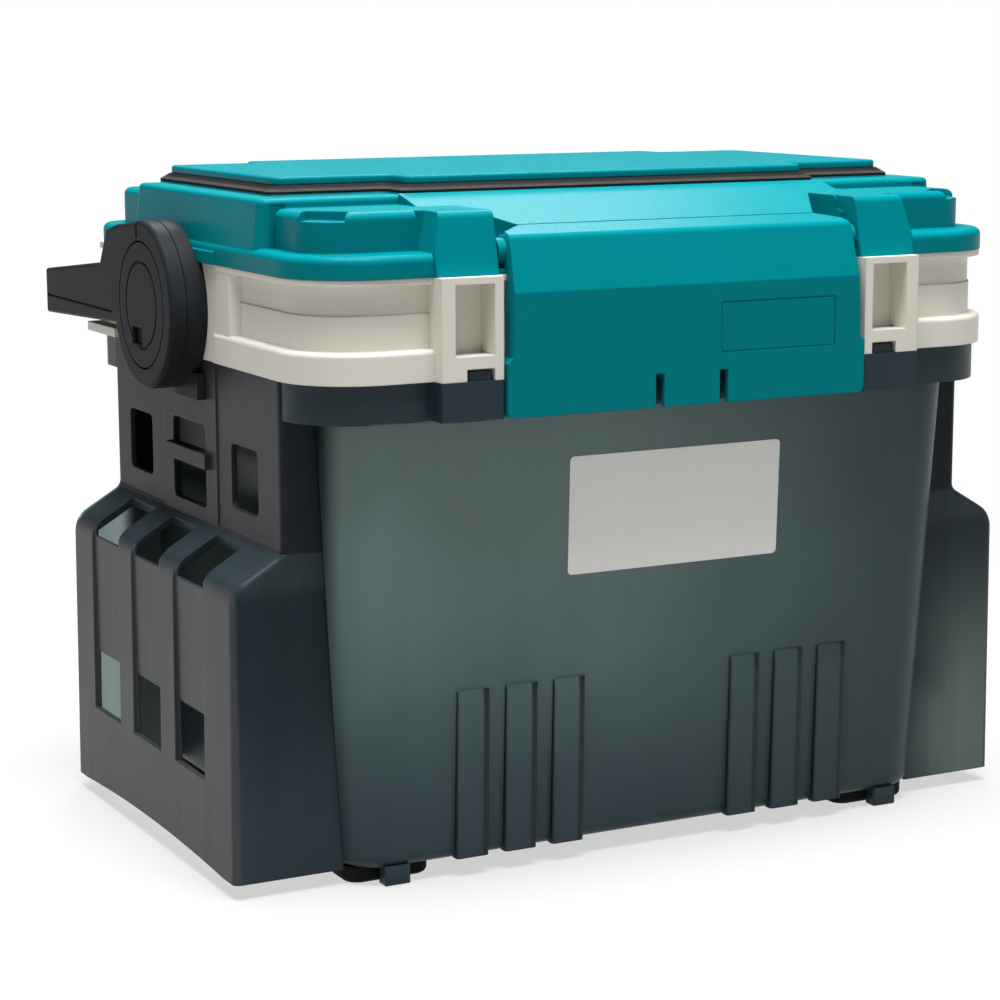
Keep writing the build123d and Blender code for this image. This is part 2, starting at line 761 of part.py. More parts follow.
# Hub bases, pivots and nuts
base_outer_x = hub_outer_x - hub_disc_thick - play
pivot_seat_x = hub_outer_x - cover_thick - pivot_head_thick
for hand, side in (("left", -1), ("right", 1)):
    with BuildPart() as hub_base:
        base_xs = sorted((side * hub_block_x, side * base_outer_x))
        rod(base_xs, hub_y, hub_z, hub_radius)
        # The base is set back from the lid above the frame
        lid_gap_xs = sorted((side * (hub_block_x - overrun), side * hub_base_x))
        lid_gap_ys = (hub_y - hub_radius - overrun, hub_y + hub_radius + overrun)
        lid_gap_zs = (lid_bottom_z - hub_pad_drop, hub_z + hub_radius + overrun)
        block(lid_gap_xs, lid_gap_ys, lid_gap_zs, Mode.SUBTRACT)
        tab_xs = sorted((side * hub_block_x, side * (hub_block_x + base_tab_thick)))
        tab_y = hub_y - base_tab_offset
        tab_z = hub_z - hub_radius - base_tab_drop
        tab_ys = (tab_y - base_tab_width / 2, tab_y + base_tab_width / 2)
        block(tab_xs, tab_ys, (tab_z, tab_z + base_tab_height))
        rod(base_xs, hub_y, hub_z, pivot_radius + pin_play, Mode.SUBTRACT)
    write(hub_base, "hub_base_" + hand)
    with BuildPart() as handle_pivot:
        nut_seat_x = hub_block_x - hub_block_wall
        shank_xs = sorted((side * (nut_seat_x - pivot_nut_thick), side * pivot_seat_x))
        rod(shank_xs, hub_y, hub_z, pivot_radius)
        head_xs = sorted((side * pivot_seat_x, side * (hub_outer_x - cover_thick - play)))
        rod(head_xs, hub_y, hub_z, pivot_head_radius)
    write(handle_pivot, "handle_pivot_" + hand)
    with BuildPart() as handle_nut:
        nut_x = min(side * nut_seat_x, side * (nut_seat_x - pivot_nut_thick))
        with BuildSketch(Plane.YZ.offset(nut_x)):
            with Locations((hub_y, hub_z)):
                RegularPolygon(pivot_nut_across / 2, pivot_nut_sides, major_radius=False)
                Circle(pivot_radius + pin_play, mode=Mode.SUBTRACT)
        extrude(amount=pivot_nut_thick)
    write(handle_nut, "handle_nut_" + hand)

# Handle: arm with its hub disc, grip and hub covers
grip_front_y = arm_end_y - grip_depth
arm_points = (
    (hub_y, arm_root_low_z),
    (arm_end_y, arm_low_z),
    (arm_end_y, arm_low_z + arm_height),
    (arm_join_y, arm_root_top_z),
    (shoulder_drop_y, shoulder_drop_z),
    (shoulder_back_y, shoulder_top_z - shoulder_fall),
    (hub_y, shoulder_top_z),
)
with BuildPart() as handle_arm_right:
    disc_xs = (hub_outer_x - hub_disc_thick, hub_outer_x)
    rod(disc_xs, hub_y, hub_z, hub_radius)
    side_profile(arm_points, disc_xs)
    arm_cut_share = (arm_root_y - hub_y) / (arm_end_y - hub_y)
    inner_points = (
        (arm_root_y, between(arm_root_low_z, arm_low_z, arm_cut_share)),
        (arm_end_y, arm_low_z),
        (arm_end_y, arm_low_z + arm_height),
        (arm_join_y, arm_root_top_z),
        (arm_root_y, arm_root_top_z),
    )
    side_profile(inner_points, (arm_inner_x, hub_outer_x))
    fillet(handle_arm_right.faces().sort_by(Axis.X)[-1].outer_wire().edges(), arm_edge_round)
    # Recesses for the cover and the bolt head, the running bore, slot and seam
    recess_xs = (hub_outer_x - cover_thick, hub_outer_x + overrun)
    rod(recess_xs, hub_y, hub_z, cover_radius + cover_groove, Mode.SUBTRACT)
    rod((pivot_seat_x, hub_outer_x), hub_y, hub_z, pivot_head_radius + play, Mode.SUBTRACT)
    bore_xs = (hub_outer_x - hub_disc_thick - overrun, hub_outer_x)
    rod(bore_xs, hub_y, hub_z, pivot_radius + pin_play, Mode.SUBTRACT)
    slot_ys = (hub_y + hub_slot_width, hub_y + 2 * hub_slot_width)
    slot_zs = (shoulder_top_z - hub_slot_depth, shoulder_top_z + overrun)
    block((hub_outer_x - cover_thick, hub_outer_x + overrun), slot_ys, slot_zs, Mode.SUBTRACT)
    seam_z = arm_low_z + arm_height * (1 - seam_share)
    seam_xs = (hub_outer_x - seam_depth, hub_outer_x + overrun)
    seam_ys = (hub_y + hub_radius + overrun, arm_end_y - wall)
    block(seam_xs, seam_ys, (seam_z, seam_z + seam_width), Mode.SUBTRACT)
write(handle_arm_right, "handle_arm_right")
with BuildPart() as handle_arm_left:
    mirror(handle_arm_right.part, about=Plane.YZ)
write(handle_arm_left, "handle_arm_left")

with BuildPart() as handle_grip:
    grip_points = (
        (grip_front_y, arm_low_z),
        (arm_end_y, arm_low_z),
        (arm_end_y, arm_low_z + arm_height),
        (grip_front_y, arm_low_z + arm_height),
    )
    side_profile(grip_points, (-arm_inner_x, arm_inner_x))
    fillet(handle_grip.edges().filter_by(Axis.X), grip_round)
write(handle_grip, "handle_grip")

for hand, side in (("left", -1), ("right", 1)):
    with BuildPart() as hub_cover:
        cover_xs = sorted((side * (hub_outer_x - cover_thick), side * hub_outer_x))
        rod(cover_xs, hub_y, hub_z, cover_radius)
        ring_x = min(side * hub_outer_x, side * (hub_outer_x - cover_ring_depth))
        with BuildSketch(Plane.YZ.offset(ring_x)):
            with Locations((hub_y, hub_z)):
                Circle(cover_ring_radius)
                Circle(cover_ring_radius - cover_ring_width, mode=Mode.SUBTRACT)
        extrude(amount=cover_ring_depth, mode=Mode.SUBTRACT)
        hole_y = hub_y + cover_hole_offset
        hole_z = hub_z - cover_hole_drop
        hole_ys = (hole_y - cover_hole_width / 2, hole_y + cover_hole_width / 2)
        block(cover_xs, hole_ys, (hole_z, hole_z + cover_hole_height), Mode.SUBTRACT)
    write(hub_cover, "hub_cover_" + hand)

# Lid
body_front = lid_front - lid_shelf
body_back = lid_back - lid_back_shelf
body_length = lid_length - 2 * lid_end_shelf
body_top_z = lid_bottom_z + lid_body_height
shelf_z = lid_bottom_z + lid_skirt_height
seat_z = lid_bottom_z + hatch_seat_height
latch_top_z = latch_pivot_z + latch_barrel_radius + latch_top_round
ramp_slope = (seat_z - latch_top_z) / (hatch_front_y + latch_lip_y)


def ramp_z(y):
    """Level of the ramp between the hatch seat and the latch."""
    return seat_z + ramp_slope * (y - hatch_front_y)


latch_sweep = ((latch_pivot_y - latch_lip_y) ** 2 + (ramp_z(-latch_lip_y) - latch_pivot_z) ** 2) ** 0.5
bay_half = latch_half_low + latch_side_gap
with BuildPart() as lid:
    with BuildSketch(Plane.XY.offset(lid_bottom_z)):
        lid_outline(0)
    extrude(amount=lid_skirt_height)
    fillet(lid.faces().sort_by(Axis.Z)[-1].edges(), lid_edge_round)
    with BuildSketch(Plane.XY.offset(lid_bottom_z)):
        plan_outline(body_length, body_front, body_back, lid_body_round, lid_body_back_round)
    extrude(amount=lid_body_height)
    fillet(lid.faces().sort_by(Axis.Z)[-1].edges(), lid_edge_round)
    platform_top_z = lid_bottom_z + platform_height
    platform_foot = platform_half + platform_lean
    platform_points = (
        (-platform_foot, lid_bottom_z),
        (platform_foot, lid_bottom_z),
        (platform_half, platform_top_z),
        (-platform_half, platform_top_z),
    )
    with BuildPart() as platform:
        front_profile(platform_points, (platform_front_y, platform_back_y))
        corner_edges = platform.edges().filter_by(Axis.Y, reverse=True)
        corner_edges = corner_edges.filter_by(lambda edge: abs(edge.center().X) > platform_half)
        fillet(corner_edges, platform_corner)
        fillet(platform.faces().sort_by(Axis.Z)[-1].edges(), platform_round)
    # Ramps in front of the hatch and behind it, and the hatch seat
    ramp_foot_z = body_top_z - lid_edge_round - wall
    front_ramp = (
        (hatch_front_y, seat_z),
        (-latch_lip_y, ramp_z(-latch_lip_y)),
        (-latch_lip_y, ramp_z(-latch_lip_y) - wall),
        (hatch_front_y, ramp_foot_z),
    )
    ramp_body_y = hatch_front_y + (body_top_z - seat_z) / ramp_slope
    high_ramp = (
        (hatch_front_y, seat_z),
        (ramp_body_y, body_top_z),
        (ramp_body_y, ramp_foot_z),
        (hatch_front_y, ramp_foot_z),
    )
    ramp_half = hatch_mid_length / 2 + ramp_margin
    side_profile(high_ramp, (-ramp_half, ramp_half))
    back_ramp = (
        (hatch_back_y, seat_z),
        (body_back - lid_edge_round, body_top_z),
        (body_back - lid_edge_round, ramp_foot_z),
        (hatch_back_y, ramp_foot_z),
    )
    side_profile(back_ramp, (-hatch_back_length / 2, hatch_back_length / 2))
    with BuildSketch(Plane.XY.offset(ramp_foot_z)):
        cross_outline(0)
    extrude(amount=seat_z - ramp_foot_z)
    # Hollow underneath
    with BuildSketch(Plane.XY.offset(lid_bottom_z)):
        lid_outline(wall)
    extrude(amount=lid_skirt_height - wall, mode=Mode.SUBTRACT)
    with BuildSketch(Plane.XY.offset(lid_bottom_z)):
        plan_outline(
            body_length - 2 * wall,
            body_front - wall,
            body_back - wall,
            lid_cavity_round,
            lid_body_back_round,
        )
    extrude(amount=lid_body_height - lid_edge_round - wall, mode=Mode.SUBTRACT)
    hollow_xs = (wall - platform_half, platform_half - wall)
    hollow_ys = (platform_front_y + wall, platform_back_y - wall)
    block(hollow_xs, hollow_ys, (lid_bottom_z, platform_top_z - wall), Mode.SUBTRACT)
    # Bay for the latch, with its ledge, ramp and cheeks
    bay_top = (
        (hatch_front_y, seat_z),
        (-boss_front, ramp_z(-boss_front)),
        (-boss_front, seat_z + overrun),
        (hatch_front_y, seat_z + overrun),
    )
    side_profile(bay_top, (-bay_half, bay_half), Mode.SUBTRACT)
    block((-bay_half, bay_half), (-boss_front, -body_front), (lid_bottom_z, seat_z), Mode.SUBTRACT)
    side_profile(front_ramp, (-bay_half - wall, bay_half + wall))
    side_profile(bay_top, (-bay_half, bay_half), Mode.SUBTRACT)
    cheek = (
        (-body_front, ramp_z(-body_front) - wall),
        (-body_front, body_top_z - lid_edge_round),
        (-body_front + lid_edge_round, body_top_z),
        (hatch_front_y, body_top_z),
        (hatch_front_y, ramp_foot_z),
    )
    for side in (-1, 1):
        side_profile(cheek, sorted((side * bay_half, side * (bay_half + wall))))
    # Pocket between the ramp and each boss
    pocket_x = bay_half - pocket_width
    pocket_floor_z = ramp_z(-latch_lip_y) - pocket_depth
    pocket_block = (
        (ramp_body_y, body_top_z),
        (-latch_lip_y, ramp_z(-latch_lip_y)),
        (-latch_lip_y, pocket_floor_z - wall),
        (ramp_body_y, pocket_floor_z - wall),
    )
    for side in (-1, 1):
        side_profile(pocket_block, sorted((side * (pocket_x - wall), side * (bay_half + wall))))
        with BuildSketch(Plane.XY.offset(pocket_floor_z)):
            with BuildLine():
                Polyline(
                    (side * bay_half, ramp_body_y),
                    (side * pocket_x, -latch_lip_y),
                    (side * bay_half, -latch_lip_y),
                    close=True,
                )
            make_face()
        extrude(amount=seat_z - pocket_floor_z, mode=Mode.SUBTRACT)
    ledge_ys = (-lid_front + frame_flange_inset, -body_front + wall)
    block((-bay_half, bay_half), ledge_ys, (lid_bottom_z, lid_bottom_z + latch_ledge))
    # Front bosses that hold the latch pin
    boss_points = (
        (-boss_front, lid_bottom_z),
        (-boss_front + boss_lean, body_top_z),
        (-body_front + wall, body_top_z),
        (-body_front + wall, lid_bottom_z),
    )
    for side in (-1, 1):
        boss_xs = sorted((side * socket_inner_x, side * (socket_inner_x + socket_width)))
        side_profile(boss_points, boss_xs, rounds=((boss_points[1], boss_round),))
        boss_x = side * (socket_inner_x + socket_width)
        draft_points = (
            (boss_x, shelf_z),
            (boss_x - side * boss_draft, body_top_z),
            (boss_x - side * boss_draft, body_top_z + overrun),
            (boss_x, body_top_z + overrun),
        )
        front_profile(draft_points, (-boss_front - overrun, -body_front), Mode.SUBTRACT)
    # Hoods over the handle hubs
    hood_outer_x = hub_base_x - play
    hood_ys = (hub_y - hood_half, hub_y + hood_half)
    hood_top_z = lid_bottom_z + hood_height
    for side in (-1, 1):
        hood_points = (
            (side * (platform_half - wall), lid_bottom_z),
            (side * hood_outer_x, lid_bottom_z),
            (side * hood_outer_x, hood_top_z - hood_drop),
            (side * (platform_half - wall), hood_top_z),
        )
        front_profile(hood_points, hood_ys)
    # Grooves in front of the platform's ends and notches in the front corners
    for side in (-1, 1):
        groove_xs = sorted((side * (body_length / 2 - end_groove_depth), side * (body_length / 2 + overrun)))
        groove_ys = (platform_front_y - end_groove_width, platform_front_y + play)
        block(groove_xs, groove_ys, (shelf_z, body_top_z + overrun), Mode.SUBTRACT)
        with BuildSketch(Plane.XY.offset(body_top_z - corner_notch_drop)):
            with Locations((side * body_length / 2, -body_front)):
                Rectangle(corner_notch_width, 2 * corner_notch_reach, rotation=side * corner_notch_turn)
        extrude(amount=lid_body_height, mode=Mode.SUBTRACT)
    # Sweep of the latch's lip, the pin bores and the hatch opening
    sweep_radius = latch_sweep + latch_sweep_gap
    with BuildSketch(Plane.YZ.offset(-bay_half)):
        with Locations((-latch_pivot_y, latch_pivot_z)):
            Circle(sweep_radius)
        with Locations((-latch_pivot_y, lid_bottom_z + latch_ledge - sweep_radius)):
            Rectangle(2 * lid_shelf, 2 * sweep_radius, mode=Mode.SUBTRACT)
    extrude(amount=2 * bay_half, mode=Mode.SUBTRACT)
    pin_xs = (-latch_pin_half, latch_pin_half)
    pin_bore = latch_pin_radius + pin_play
    rod(pin_xs, -latch_pivot_y, latch_pivot_z, pin_bore, Mode.SUBTRACT)
    with BuildSketch(Plane.XY.offset(lid_bottom_z)):
        cross_outline(hatch_seat_width)
    extrude(amount=hatch_seat_height + overrun, mode=Mode.SUBTRACT)
    # Hinge knuckles
    for side in (-1, 1):
        knuckle_xs = (side * hinge_x - hinge_lid_half, side * hinge_x + hinge_lid_half)
        rod(knuckle_xs, hinge_y, hinge_z, hinge_radius)
        block(knuckle_xs, (lid_back - wall, hinge_y), (lid_bottom_z + play, hinge_z + hinge_radius))
        rod(knuckle_xs, hinge_y, hinge_z, hinge_pin_radius + pin_play, Mode.SUBTRACT)
write(lid, "lid")

# Hinge pins and latch pin
for hand, side in (("left", -1), ("right", 1)):
    with BuildPart() as hinge_pin:
        pin_half = hinge_lid_half + hinge_ear_gap + hinge_ear_length
        rod((side * hinge_x - pin_half, side * hinge_x + pin_half), hinge_y, hinge_z, hinge_pin_radius)
    write(hinge_pin, "hinge_pin_" + hand)
with BuildPart() as latch_pin:
    rod(pin_xs, -latch_pivot_y, latch_pivot_z, latch_pin_radius)
write(latch_pin, "latch_pin")

# Hatch gasket and panel
gasket_top_z = seat_z + gasket_thick
with BuildPart() as hatch_gasket:
    with BuildSketch(Plane.XY.offset(seat_z)):
        cross_outline(0)
    extrude(amount=gasket_lip)
    for level_z, inset in ((seat_z + gasket_lip, 0), (gasket_top_z, panel_inset - gasket_edge)):
        with BuildSketch(Plane.XY.offset(level_z)):
            cross_outline(inset)
    loft(ruled=True)
    with BuildSketch(Plane.XY.offset(seat_z)):
        cross_outline(hatch_seat_width - gasket_edge)
    extrude(amount=gasket_thick, mode=Mode.SUBTRACT)
write(hatch_gasket, "hatch_gasket")

panel_bottom_z = gasket_top_z + rest_gap
plug_inset = hatch_seat_width + panel_plug_gap
with BuildPart() as hatch_panel:
    with BuildSketch(Plane.XY.offset(panel_bottom_z)):
        cross_outline(panel_inset)
    extrude(amount=panel_thick)
    fillet(hatch_panel.faces().sort_by(Axis.Z)[-1].edges(), panel_edge_round)
    with BuildSketch(Plane.XY.offset(panel_bottom_z)):
        cross_outline(plug_inset)
        with BuildSketch(mode=Mode.PRIVATE) as plug_hole:
            cross_outline(plug_inset + panel_plug_wall)
        add(plug_hole.sketch, mode=Mode.SUBTRACT)
    extrude(amount=-panel_plug_depth)
write(hatch_panel, "hatch_panel")

# Front latch
with BuildPart() as front_latch:
    head_low_z = lid_bottom_z + latch_ledge + play
    lip_z = ramp_z(-latch_lip_y)
    skin_lean = (latch_front - latch_top_front) / (lip_z - latch_crease_z)
    inner_y = -latch_front + latch_skin
    latch_points = (
        (-latch_front, latch_bottom_z),
        (-latch_front, latch_crease_z),
        (-latch_top_front, ramp_z(-latch_top_front)),
        (-latch_lip_y, lip_z),
        (-latch_lip_y, lip_z - latch_lip_drop),
        (-latch_pivot_y, latch_pivot_z + latch_barrel_radius),
        (-latch_pivot_y, head_low_z),
        (inner_y + skin_lean * (head_low_z - latch_crease_z), head_low_z),
        (inner_y, latch_crease_z),
        (inner_y, latch_bottom_z),
    )
    with BuildSketch(Plane.YZ.offset(-latch_half_low)):
        with BuildLine():
            Polyline(*latch_points, close=True)
        make_face()
        corner = (-latch_top_front, ramp_z(-latch_top_front))
        fillet(vertices().sort_by_distance(corner)[0], latch_top_round)
        with Locations((-latch_pivot_y, latch_pivot_z)):
            Circle(latch_pivot_z - head_low_z)
    extrude(amount=2 * latch_half_low)
    # Side walls that reach back towards the frame
    side_points = (
        (inner_y, latch_bottom_z),
        (-frame_front - play, latch_bottom_z),
        (-frame_front - play, head_low_z),
        (inner_y + skin_lean * (head_low_z - latch_crease_z), head_low_z),
        (inner_y, latch_crease_z),
    )
    for side in (-1, 1):
        side_profile(side_points, sorted((side * (latch_half_top - wall), side * latch_half_low)))
    hook_top_z = rim_top_z - latch_hook_gap
    hook_ys = (inner_y - play, -frame_front - play)
    block((-latch_hook_half, latch_hook_half), hook_ys, (hook_top_z - latch_hook_height, hook_top_z))
    with BuildSketch(Plane.XZ.offset(latch_front + overrun)):
        with BuildLine():
            Polyline(
                (-latch_half_low, latch_bottom_z),
                (latch_half_low, latch_bottom_z),
                (latch_half_low, latch_step_z),
                (latch_half_mid, latch_step_z + wall),
                (latch_half_top, latch_top_z + overrun),
                (-latch_half_top, latch_top_z + overrun),
                (-latch_half_mid, latch_step_z + wall),
                (-latch_half_low, latch_step_z),
                close=True,
            )
        make_face()
        fillet(vertices().group_by(Axis.Y)[-1], latch_corner_round)
        fillet(vertices().group_by(Axis.Y)[0], latch_foot_round)
    extrude(amount=-(latch_front - body_front + lid_shelf), mode=Mode.INTERSECT)
    for side in (-1, 1):
        slot_xs = (side * latch_slot_x - latch_slot_width / 2, side * latch_slot_x + latch_slot_width / 2)
        slot_ys = (-latch_front - overrun, inner_y + overrun)
        block(slot_xs, slot_ys, (latch_bottom_z - overrun, latch_slot_top_z), Mode.SUBTRACT)
    # Cut rear corners over the pockets, full barrel and a shallow bed for the plate
    for side in (-1, 1):
        corner_x = side * (bay_half - pocket_width)
        outer_x = corner_x + side * latch_corner_width
        with BuildSketch(Plane.XY.offset(latch_pivot_z + latch_barrel_radius)):
            with BuildLine():
                Polyline(
                    (corner_x, -latch_lip_y),
                    (outer_x, -latch_lip_y - latch_corner_depth),
                    (outer_x, -latch_lip_y),
                    close=True,
                )
            make_face()
        extrude(amount=lid_shelf, mode=Mode.SUBTRACT)
    barrel_xs = (-latch_half_low, latch_half_low)
    rod(barrel_xs, -latch_pivot_y, latch_pivot_z, latch_barrel_end_radius)
    plate_xs = (latch_plate_x - latch_plate_width / 2, latch_plate_x + latch_plate_width / 2)
    plate_ys = (-latch_front - overrun, -latch_front + latch_plate_depth)
    plate_bottom_z = rim_top_z + latch_plate_lift
    block(plate_xs, plate_ys, (plate_bottom_z, plate_bottom_z + latch_plate_height), Mode.SUBTRACT)
    rod(pin_xs, -latch_pivot_y, latch_pivot_z, pin_bore, Mode.SUBTRACT)
write(front_latch, "front_latch")

# Tray and dividers
tray_bottom_z = rim_top_z - tray_depth_below
tray_left_x = -between(tub_length_bottom, tub_length_top, tub_share(tray_bottom_z)) / 2 + wall + tray_end_gap
tray_middle_x = tray_left_x + tray_length / 2
tray_front = tub_front_at(tray_bottom_z) - wall - tray_side_gap
tray_back = tub_back_at(tray_bottom_z) - wall - tray_side_gap
tray_middle_y = (tray_back - tray_front) / 2
tray_depth = tray_front + tray_back
rim_front = frame_front - frame_inner - tray_rim_gap
rim_back = frame_back - frame_inner - tray_rim_gap
tray_rim_z = rim_top_z + rest_gap
with BuildPart() as inner_tray:
    with BuildSketch(Plane.XY.offset(tray_bottom_z)):
        with Locations((tray_middle_x, tray_middle_y)):
            RectangleRounded(tray_length, tray_depth, tray_corner)
    extrude(amount=tray_depth_below + rest_gap)
    with BuildSketch(Plane.XY.offset(tray_rim_z)):
        with Locations((tray_middle_x, (rim_back - rim_front) / 2)):
            RectangleRounded(tray_length, rim_front + rim_back, tray_corner)
    extrude(amount=tray_rim_height)
    with BuildSketch(Plane.XY.offset(tray_bottom_z + tray_wall)):
        with Locations((tray_middle_x, tray_middle_y)):
            inner_length = tray_length - 2 * tray_wall
            RectangleRounded(inner_length, tray_depth - 2 * tray_wall, tray_corner - tray_wall)
    extrude(amount=tray_depth_below + tray_rim_height + overrun, mode=Mode.SUBTRACT)
    rib_span = tray_slot_width + 2 * tray_rib_width
    for share in divider_shares:
        rib_y = tray_middle_y + tray_depth * share
        for end in (-1, 1):
            rib_end_x = tray_middle_x + end * (tray_length / 2 - tray_wall / 2)
            rib_xs = sorted((rib_end_x, rib_end_x - end * (tray_rib_depth + tray_wall / 2)))
            rib_zs = (tray_bottom_z + tray_wall / 2, tray_rim_z)
            block(rib_xs, (rib_y - rib_span / 2, rib_y + rib_span / 2), rib_zs)
            slot_x = tray_middle_x + end * (tray_length / 2 - tray_wall)
            slot_xs = sorted((slot_x, slot_x - end * (tray_rib_depth + overrun)))
            slot_ys = (rib_y - tray_slot_width / 2, rib_y + tray_slot_width / 2)
            block(slot_xs, slot_ys, (tray_bottom_z + tray_wall, tray_rim_z + overrun), Mode.SUBTRACT)
write(inner_tray, "inner_tray")

for name, share in zip(("front", "rear"), divider_shares):
    with BuildPart() as tray_divider:
        divider_y = tray_middle_y + tray_depth * share
        half_length = tray_length / 2 - tray_wall - rest_gap
        divider_xs = (tray_middle_x - half_length, tray_middle_x + half_length)
        divider_ys = (divider_y - divider_thick / 2, divider_y + divider_thick / 2)
        block(divider_xs, divider_ys, (tray_bottom_z + tray_wall, rim_top_z - divider_drop))
    write(tray_divider, "tray_divider_" + name)
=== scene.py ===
# %% [markdown]
# # Dressing a tackle box for a studio picture
# The box is a fishing tackle case: a smoke-grey tub with flared wings, an off-white frame, a teal lid
# with a lift-off hatch, a wide front latch and a swing handle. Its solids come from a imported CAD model,
# so nothing here moves or reshapes them. This lesson gives them their materials, adds the thin pieces
# that a CAD model leaves out, and sets up the camera, the floor and the light.

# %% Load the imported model
import json
import math

import bmesh
import bpy
from mathutils import Matrix, Vector


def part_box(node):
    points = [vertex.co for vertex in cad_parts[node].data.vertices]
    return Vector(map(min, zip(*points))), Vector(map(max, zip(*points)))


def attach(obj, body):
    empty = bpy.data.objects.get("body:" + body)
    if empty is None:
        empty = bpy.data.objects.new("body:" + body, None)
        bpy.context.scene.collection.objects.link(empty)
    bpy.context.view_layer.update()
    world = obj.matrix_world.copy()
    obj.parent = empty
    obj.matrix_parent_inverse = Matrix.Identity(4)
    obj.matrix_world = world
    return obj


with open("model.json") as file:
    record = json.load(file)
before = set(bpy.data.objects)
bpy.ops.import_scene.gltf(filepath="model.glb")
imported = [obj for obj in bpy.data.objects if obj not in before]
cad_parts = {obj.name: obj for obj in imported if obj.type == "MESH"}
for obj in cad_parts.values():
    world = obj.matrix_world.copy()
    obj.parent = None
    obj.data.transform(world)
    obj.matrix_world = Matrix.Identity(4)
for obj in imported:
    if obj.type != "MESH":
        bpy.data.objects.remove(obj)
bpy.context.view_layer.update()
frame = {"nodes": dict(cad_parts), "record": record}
mm = 0.001

# %% [markdown]
# ## Camera
# The picture was taken with a long lens from the front left, a little above the lid. A camera can be
# turned by hand until the edges agree, but here its place was solved from straight edges of the box, so
# the numbers are simply written down. The lens is given for a sensor 36 mm wide and a square picture.

# %% Camera at the photograph's place
camera_place = Vector((-0.7100, -1.3256, 0.4327))
camera_right = Vector((0.88674, -0.46225, -0.00317))
camera_up = Vector((0.08298, 0.15244, 0.98482))
camera_data = bpy.data.cameras.new("studio_camera")
camera_data.lens = 95.0
camera_data.sensor_width = 36.0
camera = bpy.data.objects.new("studio_camera", camera_data)
camera_axes = (camera_right, camera_up, camera_right.cross(camera_up))
camera.matrix_world = Matrix.Translation(camera_place) @ Matrix(camera_axes).transposed().to_4x4()
bpy.context.scene.collection.objects.link(camera)
bpy.context.scene.camera = camera
print("camera at", tuple(round(v, 3) for v in camera.matrix_world.translation))

# %% [markdown]
# ## Colours and nodes
# Paint and plastic colours are given as sRGB hex values, but shaders work in linear light, so
# one function turns a hex value to linear. A second small function adds a shader node, sets it up and
# links it, which keeps each material short enough to read.

# %% Helpers for materials


def linear(hex_colour):
    """Linear RGBA of an sRGB hex colour."""
    shares = [int(hex_colour[place:place + 2], 16) / 255 for place in (1, 3, 5)]
    return [s / 12.92 if s <= 0.04045 else ((s + 0.055) / 1.055) ** 2.4 for s in shares] + [1.0]


def add_node(tree, kind, values=None, links=None, **settings):
    """New shader node with its settings, socket values and incoming links."""
    node = tree.nodes.new("ShaderNode" + kind)
    for name, value in settings.items():
        setattr(node, name, value)
    for socket, value in (values or {}).items():
        node.inputs[socket].default_value = value
    for socket, source in (links or {}).items():
        tree.links.new(source, node.inputs[socket])
    return node


def start_material(name):
    """Node material with its Principled shader, and the object coordinates that patterns read."""
    material = bpy.data.materials.new(name)
    material.use_nodes = True
    tree = material.node_tree
    tree.nodes.clear()
    shader = add_node(tree, "BsdfPrincipled")
    add_node(tree, "OutputMaterial", links={"Surface": shader.outputs["BSDF"]})
    return material, tree, shader, add_node(tree, "TexCoord").outputs["Object"]


print("white in linear light:", [round(v, 3) for v in linear("#ebe8de")])

# %% [markdown]
# ## Moulded plastics
# All the mouldings are polypropylene or nylon. A mould's spark-eroded texture has a grain of some tenths
# of a millimetre, which scatters the highlights. It is drawn at about a millimetre, because a finer one
# doesn't show in the picture. Moulded edges are never sharp, so a Bevel node rounds the shading of each
# edge by a radius in millimetres. The resin's flow gives the colour a slow drift over some centimetres.

# %% Moulded surface
moulded_ior = 1.49
grain_spread = 0.06
grain_strength = 0.35
drift_mm = 60


def moulded_surface(name, roughness, grain_mm, grain_depth_mm, edge_mm, specular):
    """Moulded plastic with its grain and soft edges, but no colour yet."""
    material, tree, shader, place = start_material(name)
    grain = add_node(
        tree, "TexNoise", {"Scale": 1 / (grain_mm * mm), "Detail": 2.0}, {"Vector": place}
    ).outputs["Fac"]
    polish = add_node(
        tree,
        "MapRange",
        {
            "From Min": 0.3,
            "From Max": 0.7,
            "To Min": roughness - grain_spread,
            "To Max": roughness + grain_spread,
        },
        {"Value": grain},
    )
    tree.links.new(polish.outputs["Result"], shader.inputs["Roughness"])
    soft_edge = add_node(tree, "Bevel", {"Radius": edge_mm * mm}, samples=6)
    bump = add_node(
        tree,
        "Bump",
        {"Strength": grain_strength, "Distance": grain_depth_mm * mm},
        {"Height": grain, "Normal": soft_edge.outputs["Normal"]},
    )
    tree.links.new(bump.outputs["Normal"], shader.inputs["Normal"])
    shader.inputs["IOR"].default_value = moulded_ior
    shader.inputs["Specular IOR Level"].default_value = specular
    return material, tree, shader, place


def plain_plastic(name, colour, drift_colour, **surface):
    """Moulded plastic in one colour that drifts slowly to a second one."""
    material, tree, shader, place = moulded_surface(name, **surface)
    drift = add_node(tree, "TexNoise", {"Scale": 1 / (drift_mm * mm), "Detail": 3.0}, {"Vector": place})
    tint = add_node(
        tree,
        "Mix",
        {"A": linear(colour), "B": linear(drift_colour)},
        {"Factor": drift.outputs["Fac"]},
        data_type="RGBA",
    )
    tree.links.new(tint.outputs["Result"], shader.inputs["Base Color"])
    return material, shader


# %% Plain plastics
# Teal polypropylene: satin, with a pale sheen only where the light behind glances off it.
teal, _ = plain_plastic(
    "teal_moulded_polypropylene",
    "#00838c",
    "#007d86",
    roughness=0.31,
    grain_mm=0.9,
    grain_depth_mm=0.08,
    edge_mm=1.2,
    specular=0.04,
)
